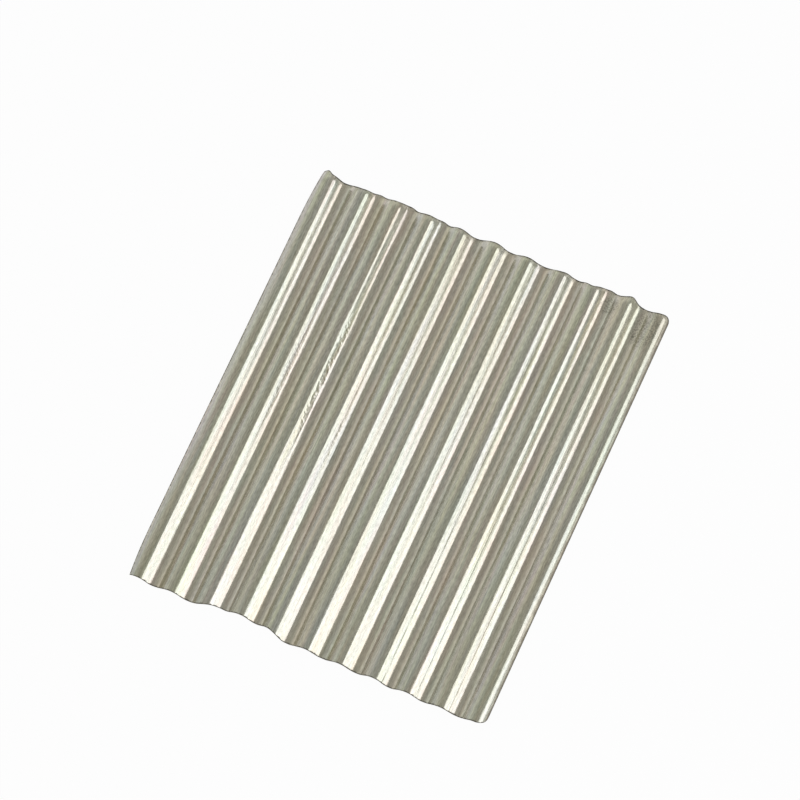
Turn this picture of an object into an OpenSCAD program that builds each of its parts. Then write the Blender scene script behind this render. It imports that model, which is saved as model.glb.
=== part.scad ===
// Corrugated steel sheet, one rolled piece lying flat with its corrugations along Y.
// Every corrugation is a round crest and a round trough joined by straight flanks,
// and both side edges are turned down past the outermost crests.

/* [Sheet] */
// Length along the corrugations
sheet_length = 975; // [300:5:2400]
// Thickness of the steel with its zinc
gauge = 0.6; // [0.4:0.1:1.2]

/* [Corrugation] */
// Distance from one crest to the next
pitch = 76; // [64:1:130]
// Rise from a trough to a crest, measured on one face
depth = 18; // [10:1:28]
// Straight length of a flank between its two bends
flank = 12; // [6:1:28]
// Number of crests
crests = 11; // [2:1:16]

/* [Side edges] */
// Distance across from the first crest to the left edge
left_lip = 23; // [8:1:32]
// Distance across from the last crest to the right edge
right_lip = 24; // [8:1:32]

/* [Corners] */
// Radius of the two corners at the right edge
corner_r = 20; // [4:1:60]

/* [Hidden] */
$fn = 96;

half_pitch = pitch / 2;
// Slope of a flank: the bends and the straight between them rise by the depth in half a pitch
flank_slope = 2 * atan(depth / (half_pitch + flank));
// Radius of every bend, at mid thickness
bend_r = (half_pitch - flank * cos(flank_slope)) / (2 * sin(flank_slope));
// Steps that each bend is drawn in, an even number so that one point lies on its top
bend_steps = 12;
// Width from edge to edge
sheet_width = left_lip + (crests - 1) * pitch + right_lip;
// The first crest, with the sheet centred across X
first_crest_x = left_lip - sheet_width / 2;
// Mid-thickness heights, with the undersides of the troughs at 0
trough_z = gauge / 2;
crest_z = trough_z + depth;
// How far a cutting shape runs past what it cuts
margin = 10;

// Points from left to right along one bend: up is 1 for a crest, -1 for a trough,
// and side is 1 on the sheet's upper face, -1 on its lower face
function bend_points(x, z, up, side) =
    let (r = bend_r + up * side * gauge / 2)
    [for (k = [0 : bend_steps])
        let (turn = flank_slope * (2 * k / bend_steps - 1))
        [x + r * sin(turn), z - up * (bend_r - r * cos(turn))]];

// One face of the section, from the trough before the first crest to the one after the last.
// The gap between the points of two bends is a flank.
function face_points(side) = [
    for (i = [0 : crests])
        let (crest_x = first_crest_x + i * pitch)
        for (p = concat(
            bend_points(crest_x - half_pitch, trough_z, -1, side),
            i < crests ? bend_points(crest_x, crest_z, 1, side) : []
        )) p
];

function reversed(list) = [for (i = [len(list) - 1 : -1 : 0]) list[i]];

// The rolled section at its even thickness
module section() {
    polygon(concat(face_points(1), reversed(face_points(-1))));
}

// Plan of the sheet: square corners on the left, rounded ones on the right
module plan() {
    straight_length = sheet_length - 2 * corner_r;
    translate([-sheet_width / 2, -sheet_length / 2])
        square([sheet_width - corner_r, sheet_length]);
    translate([sheet_width / 2 - corner_r, -straight_length / 2])
        square([corner_r, straight_length]);
    for (side = [-1, 1])
        translate([sheet_width / 2 - corner_r, side * straight_length / 2])
            circle(r = corner_r);
}

module corrugated_sheet() {
    rolled_length = sheet_length + 2 * margin;
    color("silver")
        intersection() {
            translate([0, rolled_length / 2, 0])
                rotate([90, 0, 0])
                    linear_extrude(rolled_length)
                        section();
            translate([0, 0, -margin])
                linear_extrude(depth + gauge + 2 * margin)
                    plan();
        }
}

corrugated_sheet();
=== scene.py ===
"""A corrugated zinc-coated steel sheet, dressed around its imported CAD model.

The rolled section, its two faces and the sheared rim are worked out as one numpy surface over
distance across and distance along the sheet. All lengths are in metres.
"""

import math

import bpy
import numpy as np
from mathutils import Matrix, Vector


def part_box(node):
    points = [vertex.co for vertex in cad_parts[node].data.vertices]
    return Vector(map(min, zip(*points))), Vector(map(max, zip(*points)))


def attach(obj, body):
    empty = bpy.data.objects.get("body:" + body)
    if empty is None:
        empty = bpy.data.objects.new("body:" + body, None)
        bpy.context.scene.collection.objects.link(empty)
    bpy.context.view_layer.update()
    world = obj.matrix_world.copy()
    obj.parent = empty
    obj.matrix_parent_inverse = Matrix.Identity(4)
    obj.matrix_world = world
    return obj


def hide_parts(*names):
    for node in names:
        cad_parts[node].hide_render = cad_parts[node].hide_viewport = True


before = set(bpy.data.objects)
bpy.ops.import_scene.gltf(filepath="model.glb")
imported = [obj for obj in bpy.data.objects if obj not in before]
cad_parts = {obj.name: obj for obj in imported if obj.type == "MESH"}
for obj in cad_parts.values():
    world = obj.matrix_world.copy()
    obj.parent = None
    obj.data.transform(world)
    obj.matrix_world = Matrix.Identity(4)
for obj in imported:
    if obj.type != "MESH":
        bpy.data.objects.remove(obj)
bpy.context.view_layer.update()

# Sizes of the rolled sheet. Its outer box comes from the CAD node.
SHEET_LOW, SHEET_HIGH = (np.array(corner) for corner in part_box("corrugated_sheet"))
GAUGE = 0.0006
PITCH = 0.076
FLANK = 0.012
CRESTS = 11
LEFT_LIP = 0.023
FAR_CORNER_R = 0.016
NEAR_CORNER_R = 0.024
DEPTH = SHEET_HIGH[2] - SHEET_LOW[2] - GAUGE
FIRST_CREST_X = SHEET_LOW[0] + LEFT_LIP

# The flanks that face left, as they came out of the rolls: their straight length, and how much
# tighter their bends are in the troughs and wider on the crests
EASED_FLANK = 0.0158
TROUGH_TIGHTER = 0.0014

# Points of the grid: columns round a bend, down a flank and into a corner, and rows along the sheet
BEND_COLUMNS = 12
RIGHT_FLANK_COLUMNS = 12
LEFT_FLANK_COLUMNS = 4
CORNER_COLUMNS = 12
ROWS = 105
# Share of an even spacing in columns that close up half way down a flank, and in rows that close up
# towards both ends
EVEN_COLUMNS = 0.6
EVEN_ROWS = 0.18
# Least room between two columns, and between a column and the left or the right edge
COLUMN_ROOM = 0.00025
LEFT_EDGE_ROOM = 0.0004
RIGHT_EDGE_ROOM = 0.0001

# How far rolling, shearing and handling leave the sheet from its drawn shape. The two shares called most
# hold where the far end stands out past its drawn place.
SHEAR_WAVE = 0.0010
NEAR_BAY = 0.0125
NEAR_BAY_LEFT = (-0.245, -0.195)
NEAR_BAY_RIGHT = (-0.105, -0.050)
LIP_TAPER = 0.006
LIP_TAPER_WIDTH = 0.026
LIP_TAPER_LENGTH = 0.11
LIP_TAPER_MOST = 1.2
LIP_ROLL = 0.0022
LIP_ROLL_WIDTH = 0.0100
LIP_TUCK = 0.0017
END_DROOP = 0.0034
END_DROOP_LENGTH = 0.013
END_DROOP_MOST = 1.8
END_DROOP_POWER = 1.6

# Slow random drifts: seed, size, and the lengths across and along of their waves
SHEAR_DRIFT = (5, 0.0009, [(0.11, 1), (0.061, 1), (0.034, 1), (0.021, 1)])
ROLLING_DRIFT = (11, 0.0004, [(0.31, 1.1), (0.19, 0.63), (0.13, 0.41)])
SLOPE_DRIFT = (23, 0.5, [(0.27, 0.31), (0.17, 0.19), (0.11, 0.13)])
CREASE_DRIFT = (29, 1.1, [(0.23, 0.083), (0.14, 0.057), (0.31, 0.121)])

# Dents in the far end: place across, half width, and how far the end stands out
FAR_DENTS = np.array([
    (-0.393, 0.011, 0.0080),
    (-0.308, 0.016, -0.0035),
    (-0.267, 0.017, 0.0060),
    (-0.197, 0.020, 0.0075),
    (-0.121, 0.013, 0.0050),
    (-0.062, 0.016, -0.0025),
    (0.080, 0.040, -0.0025),
    (0.144, 0.015, -0.0035),
    (0.224, 0.013, -0.0060),
    (0.262, 0.017, 0.0080),
    (0.311, 0.013, 0.0075),
    (0.369, 0.027, -0.0055),
])

# How the flanks that face right came out of the rolls, from the left one to the lip: added slope at
# the far end, half way along and at the near end, height of the crease at the far and at the near
# end, how far the flank stands towards its trough, how far its steep strip lies below half way down,
# half the width of that strip, and how far from its middle the added slope has faded out
FLANK_SETS = np.array([
    (0.052, 0.056, 0.066, 0.00005, 0.00003, 0.0005, 0.0012, 0.0047, 0.0088),
    (0.052, 0.086, 0.032, 0.00007, 0.00004, 0.0002, 0.0008, 0.0043, 0.0094),
    (0.088, 0.112, 0.000, 0.00000, 0.00000, -0.0001, -0.0004, 0.0061, 0.0101),
    (0.038, 0.046, 0.006, 0.00010, 0.00001, -0.0005, 0.0014, 0.0043, 0.0098),
    (0.002, 0.012, 0.006, 0.00005, 0.00001, -0.0009, 0.0024, 0.0043, 0.0090),
    (-0.004, -0.004, -0.010, 0.00003, 0.00001, -0.0003, 0.0012, 0.0043, 0.0100),
    (-0.010, 0.004, -0.010, 0.00009, 0.00001, -0.0004, 0.0014, 0.0043, 0.0100),
    (0.034, 0.038, 0.016, 0.00012, 0.00016, 0.0009, 0.0005, 0.0043, 0.0103),
    (0.046, 0.062, 0.014, 0.00008, 0.00013, 0.0000, 0.0003, 0.0043, 0.0136),
    (0.022, 0.026, 0.020, 0.00005, 0.00013, -0.0004, 0.0001, 0.0043, 0.0136),
    (0.000, 0.000, 0.000, 0.00000, 0.00000, 0.0012, 0.0005, 0.0043, 0.0105),
])
STANDS_COLUMN = 5
# Where along the sheet the near values go over into the middle ones, and those into the far ones
NEAR_TO_MIDDLE = (-0.28, 0.04)
MIDDLE_TO_FAR = (0.10, 0.40)
CREASE_HALF = 0.0011
CREASE_BELOW_STRIP = 0.0003

# Where a painted cool tint of the reflection goes on the sides that face left, and painted shade on their
# shoulders:
# distances before the crest at which each starts to change, has changed, starts to go back and is back
LEFT_FLANK_SPAN = (0.010, 0.017, 0.023, 0.030)
LEFT_SHOULDER_SPAN = (0.002, 0.007, 0.017, 0.022)
# Places along the sheet between which the painted shade on the left shoulders grows towards the near end
SHADE_FROM_Y = 0.12
SHADE_TO_Y = -0.34


def smooth_step(value, start, end):
    """0 before start, 1 after end, and the cubic 3t^2 - 2t^3 between them."""
    t = np.clip((value - start) / (end - start), 0, 1)
    return t * t * (3 - 2 * t)


def within(value, span):
    """0 outside the first and last place of a span, 1 between the two inside, and smooth steps between."""
    start, full, leave, end = span
    return smooth_step(value, start, full) * (1 - smooth_step(value, leave, end))


def wander(x, y, seed, size, waves):
    """A slow random drift over the sheet: the mean of a few products of two sine waves, one across and
    one along, each pair with its two lengths and with random phases."""
    rng = np.random.default_rng(seed)
    total = np.zeros(np.broadcast(x, y).shape)
    for across, along in waves:
        phase_x, phase_y = rng.uniform(0, 2 * math.pi, 2)
        total = total + np.sin(2 * math.pi * x / across + phase_x) * np.sin(2 * math.pi * y / along + phase_y)
    return size * total / len(waves)


def bend_sizes(flank):
    """Slope of a flank of that straight length, radius of the bends it joins, and how far across the
    flank begins from a crest or a trough."""
    slope = 2 * math.atan(DEPTH / (PITCH / 2 + flank))
    radius = (PITCH / 2 - flank * math.cos(slope)) / (2 * math.sin(slope))
    return slope, radius, radius * math.sin(slope)


def rolled_height(x, y):
    """Height of the mid-thickness surface over the undersides of the troughs: over each crest a circle
    arc, in each trough the same arc turned over, and between the two arcs the straight flank. The
    flanks that face left are eased, with a tighter bend at the foot and a wider one at the top. Those
    that face right are a little off the drawn place and slope: their distance from the crest is moved
    by 1 - t^4, with t from -1 to 1 down the flank."""
    across = (x - FIRST_CREST_X + PITCH / 2) % PITCH - PITCH / 2
    faces_right = across > 0
    pairs = zip(bend_sizes(FLANK), bend_sizes(EASED_FLANK))
    slope, radius, _ = (np.where(faces_right, drawn, eased) for drawn, eased in pairs)
    crest_r = radius + TROUGH_TIGHTER * ~faces_right
    trough_r = radius - TROUGH_TIGHTER * ~faces_right
    crest_reach, trough_reach = crest_r * np.sin(slope), trough_r * np.sin(slope)
    wave = np.clip(np.rint((x - FIRST_CREST_X) / PITCH), 0, CRESTS - 1).astype(int)
    sets = np.moveaxis(FLANK_SETS[wave], -1, 0)
    from_crest = np.abs(across)
    down = 4 * from_crest / PITCH - 1
    from_crest = from_crest - sets[STANDS_COLUMN] * (1 - down**4) * faces_right
    from_trough = PITCH / 2 - from_crest
    crest_arc = DEPTH - crest_r + np.sqrt(crest_r**2 - np.minimum(from_crest, crest_reach) ** 2)
    trough_arc = trough_r - np.sqrt(trough_r**2 - np.minimum(from_trough, trough_reach) ** 2)
    flank = trough_r * (1 - np.cos(slope)) + (from_trough - trough_reach) * np.tan(slope)
    bent = np.where(from_trough < trough_reach, trough_arc, flank)
    bent = np.where(from_crest < crest_reach, crest_arc, bent)
    return GAUGE / 2 + bent + flank_set(x, y, from_crest, sets) * faces_right


def flank_set(x, y, from_crest, sets):
    """Change of height that the rolls left in a flank: its middle turned to the added slope, faded out
    into both bends, and a crease near half way down, a tanh step under a squared sine. The slope goes
    from its near value through its middle one to its far one along the sheet, the crease from near to
    far, and both drift a little."""
    far_slope, mid_slope, near_slope, far_crease, near_crease, _, strip, steep_half, fade = sets
    past_near, past_middle = smooth_step(y, *NEAR_TO_MIDDLE), smooth_step(y, *MIDDLE_TO_FAR)
    slope = near_slope + (mid_slope - near_slope) * past_near + (far_slope - mid_slope) * past_middle
    uneven = 1 + wander(x, y, *SLOPE_DRIFT)
    off_middle = from_crest - PITCH / 4 - strip
    turned = -slope * uneven * off_middle * (1 - smooth_step(np.abs(off_middle), steep_half, fade))
    broken = 1 + wander(x, y, *CREASE_DRIFT)
    crease = (near_crease + (far_crease - near_crease) * past_near) * broken
    reach = bend_sizes(FLANK)[2]
    down = np.clip((from_crest - reach) / (PITCH / 2 - 2 * reach), 0, 1)
    step = np.tanh((off_middle - CREASE_BELOW_STRIP) / CREASE_HALF)
    return turned - crease * step * np.sin(math.pi * down) ** 2


def columns_across():
    """Places across the sheet that get a column of points: even turns of angle round every bend, even
    steps down the flanks that face left and steps that close up half way down those that face right,
    the two side edges, and closer steps into the rounded right corners."""
    slope, radius, reach = bend_sizes(FLANK)
    bend = radius * np.sin(np.linspace(-slope, slope, BEND_COLUMNS + 1))
    even = np.linspace(-1, 1, RIGHT_FLANK_COLUMNS + 1)[1:-1]
    closing = even * (EVEN_COLUMNS + (1 - EVEN_COLUMNS) * even**2)
    right_flank = PITCH / 4 + (PITCH / 4 - reach) * closing
    left_flank = np.linspace(reach, PITCH / 2 - reach, LEFT_FLANK_COLUMNS + 1)[1:-1]
    one_wave = np.concatenate([bend, right_flank, PITCH / 2 + bend, PITCH - left_flank])
    crest_x = FIRST_CREST_X + PITCH * np.arange(-1, CRESTS)
    left, right = SHEET_LOW[0], SHEET_HIGH[0]
    corner = right - NEAR_CORNER_R * (1 - np.sin(np.linspace(0, math.pi / 2, CORNER_COLUMNS)))
    x = np.sort(np.concatenate([(crest_x[:, None] + one_wave).ravel(), corner]))
    x = x[(x > left + LEFT_EDGE_ROOM) & (x < right - RIGHT_EDGE_ROOM)]
    x = x[np.concatenate([[True], np.diff(x) > COLUMN_ROOM])]
    return np.concatenate([[left], x, [right]])


def sheared_ends(x):
    """Near and far limits of the sheet along Y at each x: the box's ends, with the crests standing a
    little proud of the troughs at the far end, bell-shaped dents there, a shallow bay cut into the near
    end, a fine unevenness of the shear, and quarter circles at the right corners."""
    phase = 2 * math.pi * (x - FIRST_CREST_X) / PITCH
    uneven = wander(x, x * 0, *SHEAR_DRIFT)
    place, width, size = FAR_DENTS.T
    dents = np.sum(size * np.exp(-(((x[:, None] - place) / width) ** 2)), axis=1)
    bay = NEAR_BAY * within(x, NEAR_BAY_LEFT + NEAR_BAY_RIGHT)

    def corner(radius):
        into = np.clip(x - (SHEET_HIGH[0] - radius), 0, radius)
        return radius - np.sqrt(radius**2 - into**2)

    far = SHEET_HIGH[1] + SHEAR_WAVE * np.cos(phase) + uneven + dents - corner(FAR_CORNER_R)
    near = SHEET_LOW[1] + uneven[::-1] + bay + corner(NEAR_CORNER_R)
    return near, far


def sheet_point(x, y):
    """Mid-thickness point of the sheet: the rolled section carried along Y, with the left lip drawn in
    towards both ends, the right lip rolled down and tucked in along its border, the far end pressed down
    by a share of its height, and a slow drift in height from the rolling."""
    to_end = np.minimum(y - SHEET_LOW[1], SHEET_HIGH[1] - y)
    pull = LIP_TAPER * np.clip(1 - to_end / LIP_TAPER_LENGTH, 0, LIP_TAPER_MOST) ** 2
    lip = np.clip(1 - (x - SHEET_LOW[0]) / LIP_TAPER_WIDTH, 0, 1)
    border = np.clip(1 - (SHEET_HIGH[0] - x) / LIP_ROLL_WIDTH, 0, 1) ** 2
    height = rolled_height(x + pull * lip, y)
    moved_x = x + pull * lip - LIP_TUCK * border
    by_far_end = np.clip(1 - (SHEET_HIGH[1] - y) / END_DROOP_LENGTH, 0, END_DROOP_MOST)
    droop = END_DROOP * by_far_end**END_DROOP_POWER * np.sqrt(np.clip(height / DEPTH, 0, 1))
    drift = wander(x, y, *ROLLING_DRIFT)
    return np.stack([moved_x, y, SHEET_LOW[2] + height - LIP_ROLL * border - droop + drift], axis=-1)


def face_normal(x, y, step=0.00005):
    """Upward unit normal of the mid-thickness surface, from its slopes over a small step each way."""
    across = sheet_point(x + step, y) - sheet_point(x - step, y)
    along = sheet_point(x, y + step) - sheet_point(x, y - step)
    normal = np.cross(across, along)
    return normal / np.linalg.norm(normal, axis=-1, keepdims=True)


def add_values(mesh, name, values):
    """Stores one number for each point of the grid, on both faces, under a name that finishes can read."""
    on_both = np.tile(values.ravel(), 2).astype(np.float32)
    mesh.attributes.new(name, "FLOAT", "POINT").data.foreach_set("value", on_both)


def mark_places(mesh, across, near, far, y, middle):
    """Stores where each point lies: its place on the sheet rolled flat as a UV map, with the length along
    the middle row for X, its distances to the edges, the sides of the crests that face left, which take a
    painted cool tint of the reflection, and the painted shade on their shoulders."""
    row = middle[:, ROWS // 2]
    rolled_out = np.concatenate([[0], np.cumsum(np.linalg.norm(np.diff(row, axis=0), axis=1))])
    rolled_out = np.repeat(rolled_out[:, None], ROWS, axis=1)
    flat = np.stack([rolled_out, y], axis=-1).reshape(-1, 2)
    point_of = np.zeros(len(mesh.loops), np.int32)
    mesh.loops.foreach_get("vertex_index", point_of)
    on_loops = np.tile(flat, (2, 1))[point_of].astype(np.float32)
    mesh.uv_layers.new(name="rolled_out").uv.foreach_set("vector", on_loops.ravel())

    to_far, to_right = far[:, None] - y, rolled_out[-1] - rolled_out
    to_end, to_side = np.minimum(y - near[:, None], to_far), np.minimum(rolled_out, to_right)
    add_values(mesh, "to_far_end", to_far)
    add_values(mesh, "to_edge", np.minimum(to_end, to_side))
    add_values(mesh, "to_right_edge", to_right)
    before_crest = np.repeat(((FIRST_CREST_X - across) % PITCH)[:, None], ROWS, axis=1)
    add_values(mesh, "left_flank", within(before_crest, LEFT_FLANK_SPAN))
    # Painted shade on the left shoulders, growing towards the near end
    shoulder_shade = within(before_crest, LEFT_SHOULDER_SPAN) * smooth_step(-y, -SHADE_FROM_Y, -SHADE_TO_Y)
    add_values(mesh, "painted_shoulder_shade", shoulder_shade)


def make_sheet(name):
    """The whole sheet as one closed skin: the mid-thickness grid moved half the gauge up and down its
    normal for the two faces, joined round their borders by the sheared rim."""
    across = columns_across()
    near, far = sheared_ends(across)
    even = np.linspace(-1, 1, ROWS)
    share = 0.5 + 0.5 * (EVEN_ROWS * even + (1 - EVEN_ROWS) * np.sin(even * math.pi / 2))
    x = np.repeat(across[:, None], ROWS, axis=1)
    y = near[:, None] + (far - near)[:, None] * share
    middle = sheet_point(x, y)
    half = GAUGE / 2 * face_normal(x, y)
    points = np.concatenate([(middle + half).reshape(-1, 3), (middle - half).reshape(-1, 3)])

    on_face = len(across) * ROWS
    index = np.arange(on_face).reshape(len(across), ROWS)
    corners = [index[:-1, :-1], index[1:, :-1], index[1:, 1:], index[:-1, 1:]]
    upper = np.stack(corners, axis=-1).reshape(-1, 4)
    lower = upper[:, ::-1] + on_face
    border = np.concatenate([index[:-1, 0], index[-1, :-1], index[:0:-1, -1], index[0, :0:-1]])
    after = np.roll(border, -1)
    rim = np.stack([border, border + on_face, after + on_face, after], axis=-1)

    mesh = bpy.data.meshes.new(name)
    mesh.from_pydata(points, [], np.concatenate([upper, lower, rim]))
    finish_index = np.repeat([0, 1, 2], [len(upper), len(lower), len(rim)]).astype(np.int32)
    mesh.polygons.foreach_set("material_index", finish_index)
    mesh.polygons.foreach_set("use_smooth", finish_index < 2)
    mark_places(mesh, across, near, far, y, middle)
    mesh.update()
    made = bpy.data.objects.new(name, mesh)
    bpy.context.scene.collection.objects.link(made)
    return made


def put(tree, kind, inputs=None, **settings):
    """Adds a node to a tree with its settings, and fills its inputs: a socket is linked, a value is set."""
    node = tree.nodes.new(kind)
    for name, value in settings.items():
        setattr(node, name, value)
    for name, value in (inputs or {}).items():
        if isinstance(value, bpy.types.NodeSocket):
            tree.links.new(value, node.inputs[name])
        else:
            node.inputs[name].default_value = value
    return node


def maths(tree, operation, first, second):
    """One step of arithmetic on two numbers or sockets."""
    return put(tree, "ShaderNodeMath", {0: first, 1: second}, operation=operation).outputs[0]


def times(tree, first, second):
    """The product of two numbers or sockets."""
    return maths(tree, "MULTIPLY", first, second)


def added(tree, first, *others):
    """The sum of several numbers or sockets."""
    for other in others:
        first = maths(tree, "ADD", first, other)
    return first


def vector_maths(tree, operation, first, second):
    """One step of arithmetic on two vectors, or on a vector and a scale."""
    inputs = {0: first, "Scale" if operation == "SCALE" else 1: second}
    return put(tree, "ShaderNodeVectorMath", inputs, operation=operation).outputs[0]


def ramp(tree, value, start, end, low=0.0, high=1.0, kind="SMOOTHSTEP"):
    """Takes a value from start to end and gives low to high, held at both ends."""
    inputs = {"Value": value, "From Min": start, "From Max": end, "To Min": low, "To Max": high}
    return put(tree, "ShaderNodeMapRange", inputs, interpolation_type=kind).outputs["Result"]


def spread(tree, share, low, high):
    """Takes a share from 0 to 1 and gives low to high along a straight line."""
    return ramp(tree, share, 0, 1, low, high, "LINEAR")


def noise_at(tree, place, scale, detail, roughness=0.5):
    """Plain noise round 0.5 at a place."""
    inputs = {"Vector": place, "Scale": scale, "Detail": detail, "Roughness": roughness}
    return put(tree, "ShaderNodeTexNoise", inputs)


def blend_colour(tree, share, first, second, kind="MIX"):
    """Mixes two colours by a share, or multiplies the first by the second."""
    inputs = {0: share, 6: first, 7: second}
    return put(tree, "ShaderNodeMix", inputs, data_type="RGBA", blend_type=kind).outputs[2]


def new_group(name, takes, gives):
    """A shader node group with the named inputs and outputs; returns it with its two ends' sockets."""
    group = bpy.data.node_groups.new(name, "ShaderNodeTree")
    for label, kind in takes:
        group.interface.new_socket(label, in_out="INPUT", socket_type="NodeSocket" + kind)
    for label, kind in gives:
        group.interface.new_socket(label, in_out="OUTPUT", socket_type="NodeSocket" + kind)
    start = group.nodes.new("NodeGroupInput").outputs
    end = group.nodes.new("NodeGroupOutput").inputs
    return group, start, end


def stretched(tree, vector, across, along):
    """A place scaled by its own factor across and along the sheet."""
    factors = put(tree, "ShaderNodeCombineXYZ", {"X": across, "Y": along, "Z": across}).outputs[0]
    return vector_maths(tree, "MULTIPLY", vector, factors)


def rolling_streaks_group():
    """Long marks that the rolls leave: noise drawn out along the sheet, from 0 to 1."""
    takes = [("Place", "Vector"), ("Across", "Float"), ("Along", "Float")]
    group, start, end = new_group("rolling_streaks", takes, [("Streak", "Float")])
    place = stretched(group, start["Place"], start["Across"], start["Along"])
    noise = noise_at(group, place, scale=1, detail=4, roughness=0.6).outputs[0]
    group.links.new(ramp(group, noise, 0.3, 0.7, kind="LINEAR"), end["Streak"])
    return group


def zinc_crystals_group():
    """Zinc as it sets on the steel: a random tone for each flat crystal, and a fine grain over them."""
    takes = [("Place", "Vector"), ("Crystals", "Float"), ("Grains", "Float")]
    group, start, end = new_group("zinc_crystals", takes, [("Tone", "Float"), ("Grain", "Float")])
    bend = noise_at(group, start["Place"], start["Crystals"], detail=2).outputs["Color"]
    shift = vector_maths(group, "SCALE", vector_maths(group, "SUBTRACT", bend, (0.5, 0.5, 0.5)), 0.006)
    bent = vector_maths(group, "ADD", start["Place"], shift)
    cells = put(group, "ShaderNodeTexVoronoi", {"Vector": bent, "Scale": start["Crystals"]})
    tone = put(group, "ShaderNodeSeparateColor", {"Color": cells.outputs["Color"]})
    grain = noise_at(group, start["Place"], start["Grains"], detail=3).outputs[0]
    group.links.new(tone.outputs[0], end["Tone"])
    group.links.new(ramp(group, grain, 0.3, 0.7, kind="LINEAR"), end["Grain"])
    return group


def tint_drift_group():
    """Slow change of tint over the sheet, from green-grey through plain zinc to a warm grey, and across
    it a second drift from yellowish to bluish."""
    takes = [("Place", "Vector"), ("Across", "Float"), ("Along", "Float")]
    group, start, end = new_group("tint_drift", takes, [("Tint", "Color")])
    place = stretched(group, start["Place"], start["Across"], start["Along"])
    elsewhere = vector_maths(group, "ADD", place, (31.0, 17.0, 0.0))

    def drift(where, scale, stops):
        noise = noise_at(group, where, scale, detail=3, roughness=0.55).outputs[0]
        tints = put(group, "ShaderNodeValToRGB", {"Fac": noise})
        elements = tints.color_ramp.elements
        ends = [elements[0], elements[1]]
        for position, colour in stops:
            element = ends.pop(0) if ends else elements.new(position)
            element.position, element.color = position, (*colour, 1)
        return tints.outputs["Color"]

    warm = drift(place, 1, [(0.30, GREEN_GREY), (0.70, WARM_GREY), (0.50, PLAIN_GREY)])
    blue = drift(elsewhere, 0.8, [(0.32, YELLOWISH), (0.68, BLUISH)])
    group.links.new(blend_colour(group, 1.0, warm, blue, "MULTIPLY"), end["Tint"])
    return group


def edge_mask_group():
    """A share that gathers along a border, used for films and for painted shade: 1 at the border, 0 past an
    uneven reach.
    """
    takes = [("Distance", "Float"), ("Reach", "Float"), ("Uneven", "Float")]
    takes += [("Place", "Vector"), ("Blotches", "Float")]
    group, start, end = new_group("edge_mask", takes, [("Film", "Float")])
    noise = noise_at(group, start["Place"], start["Blotches"], detail=3).outputs[0]
    swing = times(group, ramp(group, noise, 0.3, 0.7, -1.0, 1.0), start["Uneven"])
    reach = times(group, added(group, swing, 1.0), start["Reach"])
    share = maths(group, "DIVIDE", start["Distance"], reach)
    group.links.new(ramp(group, share, 0.35, 1.0, 1.0, 0.0), end["Film"])
    return group


def place_group(tree, group, **inputs):
    """Puts a node group into a material with its own values and gives its outputs."""
    return put(tree, "ShaderNodeGroup", inputs, node_tree=group).outputs


def attribute(tree, name):
    """A number stored on the sheet's points."""
    return put(tree, "ShaderNodeAttribute", attribute_name=name).outputs["Fac"]


def edge_mask_along(tree, place, distance, reach, uneven, blotches):
    """The share along one border, from the distance to it, for a film and for painted shade alike."""
    inputs = {"Distance": distance, "Reach": reach, "Uneven": uneven, "Place": place, "Blotches": blotches}
    return place_group(tree, EDGE_MASK, **inputs)["Film"]


def spot(tree, place, centre, radii):
    """A soft oval of 1 round a centre in plan, falling to 0 at its radii."""
    moved = vector_maths(tree, "SUBTRACT", place, (*centre, 0))
    inside = vector_maths(tree, "MULTIPLY", moved, (1 / radii[0], 1 / radii[1], 0))
    length = put(tree, "ShaderNodeVectorMath", {0: inside}, operation="LENGTH").outputs["Value"]
    return ramp(tree, length, 0.55, 1.0, 1.0, 0.0)


def strongest_spot(tree, place, spots, strongest):
    """The strongest of some ovals, each with its share, and of a value that is there already."""
    for centre, radii, share in spots:
        marked = times(tree, spot(tree, place, centre, radii), share)
        strongest = maths(tree, "MAXIMUM", strongest, marked)
    return strongest


def new_finish(name):
    """An empty material with its shader, and the places in space and on the flat sheet that it reads."""
    material = bpy.data.materials.new(name)
    material.use_nodes = True
    tree = material.node_tree
    shader = tree.nodes["Principled BSDF"]
    place = put(tree, "ShaderNodeTexCoord").outputs["Object"]
    flat = put(tree, "ShaderNodeUVMap", uv_map="rolled_out").outputs["UV"]
    return material, tree, shader, place, flat


def raise_relief(tree, shader, relief, distance):
    """Bends a shader's normal by a relief that stands that far out where it is 1."""
    bump = put(tree, "ShaderNodeBump", {"Height": relief, "Distance": distance, "Strength": 1.0})
    tree.links.new(bump.outputs["Normal"], shader.inputs["Normal"])


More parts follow.
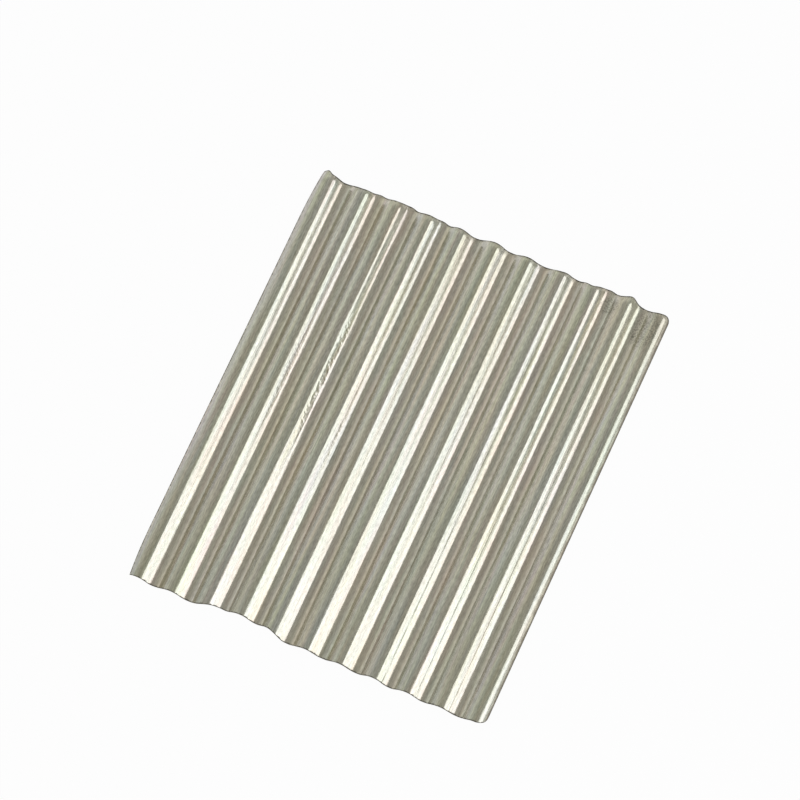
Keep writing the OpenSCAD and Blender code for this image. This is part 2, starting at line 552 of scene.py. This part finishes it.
def upper_zinc():
    """The weathered upper face: streaked and grained zinc, warm dust low in the troughs, a painted cool tint
    of the reflection on the sides that face left and painted shade on their shoulders, a rougher dimpled far
    margin with darker blotches, dark borders that are partly edge dirt and partly painted shade of the shadow
    under the edge, a wider painted shade along the right border, roll chatter on three flanks and soft
    smudges by the far right corner."""
    material, tree, shader, place, flat = new_finish("zinc_upper_face")
    fine = place_group(tree, STREAKS, Place=flat, Across=430.0, Along=7.0)["Streak"]
    broad = place_group(tree, STREAKS, Place=flat, Across=120.0, Along=2.2)["Streak"]
    patchy = place_group(tree, STREAKS, Place=flat, Across=24.0, Along=5.0)["Streak"]
    drawn_out = stretched(tree, flat, 1.0, 0.2)
    zinc = place_group(tree, CRYSTALS, Place=drawn_out, Crystals=140.0, Grains=400.0)
    tint = place_group(tree, TINTS, Place=flat, Across=60.0, Along=3.0)["Tint"]
    to_right = attribute(tree, "to_right_edge")
    margin = edge_mask_along(tree, place, attribute(tree, "to_far_end"), reach=0.010, uneven=0.5, blotches=90.0)
    # Dark film along every border: partly edge dirt, partly painted shade of the shadow under the edge
    border = edge_mask_along(tree, place, attribute(tree, "to_edge"), reach=0.0030, uneven=0.5, blotches=160.0)
    # Painted shade along the right border, for the dark reflection of the shaded floor there
    right_painted_shade = edge_mask_along(tree, place, to_right, reach=0.0110, uneven=0.25, blotches=40.0)

    streaked = added(tree, spread(tree, fine, -0.11, 0.11), spread(tree, broad, -0.13, 0.13))
    crystals = spread(tree, zinc["Tone"], -0.03, 0.03)
    tone = added(tree, streaked, crystals, spread(tree, zinc["Grain"], 0.82, 1.18))
    colour = blend_colour(tree, 1.0, (*ZINC, 1), tint, "MULTIPLY")
    colour = blend_colour(tree, 1.0, colour, tone, "MULTIPLY")
    # Painted cool tint of the reflection on the sides that face left
    colour = blend_colour(tree, attribute(tree, "left_flank"), colour, (*COOL_PAINTED_REFLECTION, 1), "MULTIPLY")
    # Painted shade on the left shoulders, growing towards the near end
    colour = blend_colour(tree, attribute(tree, "painted_shoulder_shade"), colour, (*SHOULDER_PAINTED_SHADE, 1), "MULTIPLY")
    height = put(tree, "ShaderNodeSeparateXYZ", {0: place}).outputs["Z"]
    low = ramp(tree, height, 0.0, 0.012, 1.0, 0.0)
    dusty = times(tree, low, ramp(tree, patchy, 0.1, 0.9, 0.01, 0.41, "LINEAR"))
    colour = blend_colour(tree, dusty, colour, (*TROUGH_DUST, 1))
    cloud = noise_at(tree, place, scale=62.0, detail=3, roughness=0.55).outputs[0]
    blotch = times(tree, margin, ramp(tree, cloud, 0.42, 0.66, 0.2, 0.75))
    colour = blend_colour(tree, blotch, colour, (*MARGIN_BLOTCH, 1))
    dust = noise_at(tree, place, scale=340.0, detail=1).outputs[0]
    by_corner = strongest_spot(tree, place, CORNER_SMUDGES, 0.0)
    smudge = times(tree, ramp(tree, dust, 0.36, 0.74, 0.03, 0.62), by_corner)
    smudge = strongest_spot(tree, place, CORNER_SPECKS, smudge)
    colour = blend_colour(tree, smudge, colour, (*SMUDGE, 1))
    # Painted shade along the right border, for the dark reflection of the shaded floor there
    colour = blend_colour(tree, times(tree, right_painted_shade, 0.9), colour, (*RIGHT_BORDER_PAINTED_SHADE, 1))
    # Dark border film: partly edge dirt, partly painted shade of the shadow under the edge
    colour = blend_colour(tree, border, colour, (*BORDER_DIRT_AND_PAINTED_SHADE, 1))
    tree.links.new(colour, shader.inputs["Base Color"])

    rough = added(tree, spread(tree, fine, 0.12, 0.19), spread(tree, zinc["Tone"], -0.02, 0.02))
    dark_borders = maths(tree, "MAXIMUM", border, right_painted_shade)
    rough = added(tree, rough, times(tree, margin, 0.22), times(tree, dark_borders, 0.25))
    rough = added(tree, rough, ramp(tree, to_right, 0.012, 0.026, 0.10, 0.0))
    tree.links.new(rough, shader.inputs["Roughness"])
    shader.inputs["Metallic"].default_value = 1.0

    dents = put(tree, "ShaderNodeTexVoronoi", {"Vector": place, "Scale": 115.0}, feature="SMOOTH_F1")
    dent = ramp(tree, dents.outputs["Distance"], 0.0, 0.6)
    chatter = strongest_spot(tree, place, CHATTER, times(tree, margin, 0.3))
    relief = added(tree, times(tree, fine, 0.030), times(tree, zinc["Grain"], 0.034))
    relief = added(tree, relief, times(tree, times(tree, dent, chatter), 0.36))
    raise_relief(tree, shader, relief, distance=0.001)
    return material


def lower_zinc():
    """The sheltered lower face: the same zinc with clearer crystals and fainter streaks."""
    material, tree, shader, place, flat = new_finish("zinc_lower_face")
    streak = place_group(tree, STREAKS, Place=flat, Across=300.0, Along=4.0)["Streak"]
    zinc = place_group(tree, CRYSTALS, Place=place, Crystals=110.0, Grains=480.0)
    tint = place_group(tree, TINTS, Place=flat, Across=18.0, Along=2.5)["Tint"]
    border = edge_mask_along(tree, place, attribute(tree, "to_edge"), reach=0.004, uneven=0.5, blotches=120.0)
    tone = added(tree, spread(tree, streak, -0.03, 0.03), spread(tree, zinc["Tone"], 0.92, 1.06))
    colour = blend_colour(tree, 1.0, (*ZINC, 1), tint, "MULTIPLY")
    colour = blend_colour(tree, 1.0, colour, tone, "MULTIPLY")
    colour = blend_colour(tree, border, colour, (*BARE_STEEL, 1))
    tree.links.new(colour, shader.inputs["Base Color"])
    rough = added(tree, spread(tree, zinc["Tone"], 0.2, 0.3), spread(tree, border, 0.0, 0.15))
    tree.links.new(rough, shader.inputs["Roughness"])
    shader.inputs["Metallic"].default_value = 1.0
    relief = added(tree, times(tree, streak, 0.012), times(tree, zinc["Grain"], 0.012))
    raise_relief(tree, shader, relief, distance=0.001)
    return material


def sheared_steel():
    """The cut rim: darker bare steel with a fine grain and a brown bloom in places."""
    material, tree, shader, place, _ = new_finish("sheared_edge")
    zinc = place_group(tree, CRYSTALS, Place=place, Crystals=300.0, Grains=1500.0)
    tint = place_group(tree, TINTS, Place=place, Across=30.0, Along=30.0)["Tint"]
    colour = blend_colour(tree, 1.0, (*BARE_STEEL, 1), tint, "MULTIPLY")
    bloom = ramp(tree, zinc["Tone"], 0.7, 0.95, 0.0, 0.7)
    colour = blend_colour(tree, bloom, colour, (*BROWN_BLOOM, 1))
    tree.links.new(colour, shader.inputs["Base Color"])
    tree.links.new(spread(tree, zinc["Grain"], 0.35, 0.55), shader.inputs["Roughness"])
    tree.links.new(spread(tree, bloom, 0.95, 0.4), shader.inputs["Metallic"])
    raise_relief(tree, shader, zinc["Grain"], distance=0.00003)
    return material


# Colours of the finishes
ZINC = (0.710, 0.697, 0.562)
BARE_STEEL = (0.36, 0.33, 0.27)
BROWN_BLOOM = (0.24, 0.17, 0.11)
TROUGH_DUST = (0.79, 0.60, 0.485)
MARGIN_BLOTCH = (0.42, 0.40, 0.31)
SMUDGE = (0.20, 0.20, 0.15)
# Painted shade along the right border, for the dark reflection of the shaded floor there
RIGHT_BORDER_PAINTED_SHADE = (0.24, 0.21, 0.16)
# Dark film along every border: partly edge dirt, partly painted shade of the shadow under the edge
BORDER_DIRT_AND_PAINTED_SHADE = (0.13, 0.12, 0.09)
# Tints that zinc is multiplied by
GREEN_GREY = (0.935, 0.990, 0.980)
PLAIN_GREY = (0.985, 0.985, 0.970)
WARM_GREY = (1.035, 0.955, 0.945)
YELLOWISH = (1.0, 1.0, 0.92)
BLUISH = (0.985, 0.995, 1.07)
# Painted cool tint of the reflection on the sides that face left
COOL_PAINTED_REFLECTION = (1.015, 1.0, 1.10)
# Painted shade on the left shoulders
SHOULDER_PAINTED_SHADE = (0.855, 0.865, 0.875)
# Roll chatter on three flanks, and marks by the far right corner: centre and radii in plan, and a share
CHATTER = [
    ((-0.2085, 0.065), (0.0085, 0.19), 1.0),
    ((-0.2850, 0.060), (0.0070, 0.15), 0.4),
    ((-0.1320, -0.050), (0.0070, 0.09), 0.4),
]
CORNER_SMUDGES = [((0.362, 0.440), (0.036, 0.055), 1.0), ((0.273, 0.460), (0.024, 0.026), 1.0)]
CORNER_SPECKS = [((0.3445, 0.4175), (0.0045, 0.0038), 0.7)]

# Effects that the finishes share
STREAKS = rolling_streaks_group()
CRYSTALS = zinc_crystals_group()
TINTS = tint_drift_group()
EDGE_MASK = edge_mask_group()

sheet = make_sheet("corrugated_sheet_skin")
sheet.data.materials.append(upper_zinc())
sheet.data.materials.append(lower_zinc())
sheet.data.materials.append(sheared_steel())
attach(sheet, "root")
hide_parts("corrugated_sheet")

# The floor, which lies just below the lowest trough
FLOOR_HALF = 40.0
FLOOR_LEVEL = -0.0010
FLOOR_PAINT = (0.9, 0.9, 0.9)
FLOOR_WHITE = 0.96

# Light of the room, in units where 1 is white: its left and right walls, where across a direction one
# goes over into the other, its ceiling, and the heights of a direction between which the walls go over
# into the ceiling
ROOM_LEFT_WALL = 0.635
ROOM_RIGHT_WALL = 0.42
ROOM_WALL_TURN = (-0.2, 0.5)
ROOM_CEILING = 0.350
ROOM_WALL_TOP = 0.50
ROOM_TOP = 1.03

# The panel to the right: its place, its foot at the near end and how fast that rises away, its light,
# and how that falls along it
PANEL_X = 4.0
PANEL_NEAR_Y = -0.8
PANEL_FAR_Y = 4.5
PANEL_FOOT = 0.06
PANEL_TOP = 6.05
PANEL_RISE = 0.54
PANEL_RADIANCE = (1.43, 1.445, 1.61)
PANEL_FALL_Y = (0.8, 2.1)
PANEL_FALL = (1.065, 0.965)

# The lamp behind the camera
LAMP_PLACE = Vector((-0.5, -5.0, 5.0))
LAMP_WIDTH = 10.0
LAMP_HEIGHT = 6.0
LAMP_RADIANCE = 0.35

# The photograph's viewpoint
CAMERA_TARGET = Vector((-0.04435, 0.09133, 0))
CAMERA_AZIMUTH = math.radians(24.041)
CAMERA_ELEVATION = math.radians(71.168)
CAMERA_DISTANCE = 11.8912
CAMERA_ANGLE = math.radians(8.035)
CAMERA_REACH = 200


def flat_object(name, corners):
    """A staged flat face through the given corners, in order round its edge, with an empty material."""
    mesh = bpy.data.meshes.new(name)
    mesh.from_pydata(corners, [], [tuple(range(len(corners)))])
    made = bpy.data.objects.new(name, mesh)
    bpy.context.scene.collection.objects.link(made)
    material = bpy.data.materials.new(name)
    material.use_nodes = True
    material.node_tree.nodes.clear()
    mesh.materials.append(material)
    return made, material.node_tree


def make_floor():
    """A wide pale floor that shows white to the camera and to reflections and still takes the shadow."""
    turns = [(-1, -1), (1, -1), (1, 1), (-1, 1)]
    _, tree = flat_object("floor", [(FLOOR_HALF * x, FLOOR_HALF * y, FLOOR_LEVEL) for x, y in turns])
    paint = put(tree, "ShaderNodeBsdfDiffuse", {"Color": (*FLOOR_PAINT, 1)}).outputs[0]
    white = put(tree, "ShaderNodeEmission", {"Color": (1, 1, 1, 1), "Strength": 1.0}).outputs[0]
    ray = put(tree, "ShaderNodeLightPath").outputs
    seen = maths(tree, "MAXIMUM", ray["Is Camera Ray"], ray["Is Glossy Ray"])
    seen = maths(tree, "MAXIMUM", seen, ray["Is Transmission Ray"])
    mix = put(tree, "ShaderNodeMixShader", {0: times(tree, seen, FLOOR_WHITE), 1: paint, 2: white}).outputs[0]
    put(tree, "ShaderNodeOutputMaterial", {"Surface": mix})


def make_room():
    """A grey room, lighter round its walls than overhead and lighter on the left than on the right:
    radiance falls smoothly with the height of a direction, from its wall's level to the ceiling's."""
    world = bpy.data.worlds.new("studio_room")
    bpy.context.scene.world = world
    world.use_nodes = True
    tree = world.node_tree
    direction = put(tree, "ShaderNodeTexCoord").outputs["Generated"]
    split = put(tree, "ShaderNodeSeparateXYZ", {0: direction}).outputs
    wall = ramp(tree, split["X"], *ROOM_WALL_TURN, ROOM_LEFT_WALL, ROOM_RIGHT_WALL)
    overhead = ramp(tree, split["Z"], ROOM_WALL_TOP, ROOM_TOP)
    level = put(tree, "ShaderNodeMix", {0: overhead, 2: wall, 3: ROOM_CEILING}, data_type="FLOAT").outputs[0]
    background = tree.nodes["Background"]
    background.inputs["Color"].default_value = (1, 1, 1, 1)
    tree.links.new(level, background.inputs["Strength"])


def make_panel():
    """A large panel that stands to the right, its lower edge rising away from the camera and its light
    a little stronger at the near end."""
    far_foot = PANEL_FOOT + PANEL_RISE * (PANEL_FAR_Y - PANEL_NEAR_Y)
    outline = [
        (PANEL_NEAR_Y, PANEL_FOOT),
        (PANEL_FAR_Y, far_foot),
        (PANEL_FAR_Y, PANEL_TOP),
        (PANEL_NEAR_Y, PANEL_TOP),
    ]
    made, tree = flat_object("right_panel", [(PANEL_X, y, z) for y, z in outline])
    place = put(tree, "ShaderNodeTexCoord").outputs["Object"]
    along = put(tree, "ShaderNodeSeparateXYZ", {0: place}).outputs["Y"]
    strength = ramp(tree, along, *PANEL_FALL_Y, *PANEL_FALL)
    glow = put(tree, "ShaderNodeEmission", {"Color": (*PANEL_RADIANCE, 1), "Strength": strength}).outputs[0]
    put(tree, "ShaderNodeOutputMaterial", {"Surface": glow})
    made.visible_camera = False


def make_fill_lamp():
    """A soft rectangular lamp behind the camera, facing the sheet."""
    lamp = bpy.data.lights.new("fill_lamp", "AREA")
    lamp.shape = "RECTANGLE"
    lamp.size = LAMP_WIDTH
    lamp.size_y = LAMP_HEIGHT
    lamp.energy = LAMP_RADIANCE * math.pi * LAMP_WIDTH * LAMP_HEIGHT
    made = bpy.data.objects.new("fill_lamp", lamp)
    made.location = LAMP_PLACE
    made.rotation_euler = (-LAMP_PLACE).to_track_quat("-Z", "Y").to_euler()
    made.visible_camera = False
    bpy.context.scene.collection.objects.link(made)


def make_camera():
    """The camera, high over the near right corner with a long lens."""
    back = Vector((
        math.sin(CAMERA_AZIMUTH) * math.cos(CAMERA_ELEVATION),
        -math.cos(CAMERA_AZIMUTH) * math.cos(CAMERA_ELEVATION),
        math.sin(CAMERA_ELEVATION),
    ))
    lens = bpy.data.cameras.new("camera")
    lens.angle = CAMERA_ANGLE
    lens.clip_end = CAMERA_REACH
    camera = bpy.data.objects.new("camera", lens)
    camera.location = CAMERA_TARGET + back * CAMERA_DISTANCE
    camera.rotation_euler = (-back).to_track_quat("-Z", "Y").to_euler()
    bpy.context.scene.collection.objects.link(camera)
    bpy.context.scene.camera = camera


make_floor()
make_room()
make_panel()
make_fill_lamp()
make_camera()
bpy.context.scene.view_settings.view_transform = "Standard"
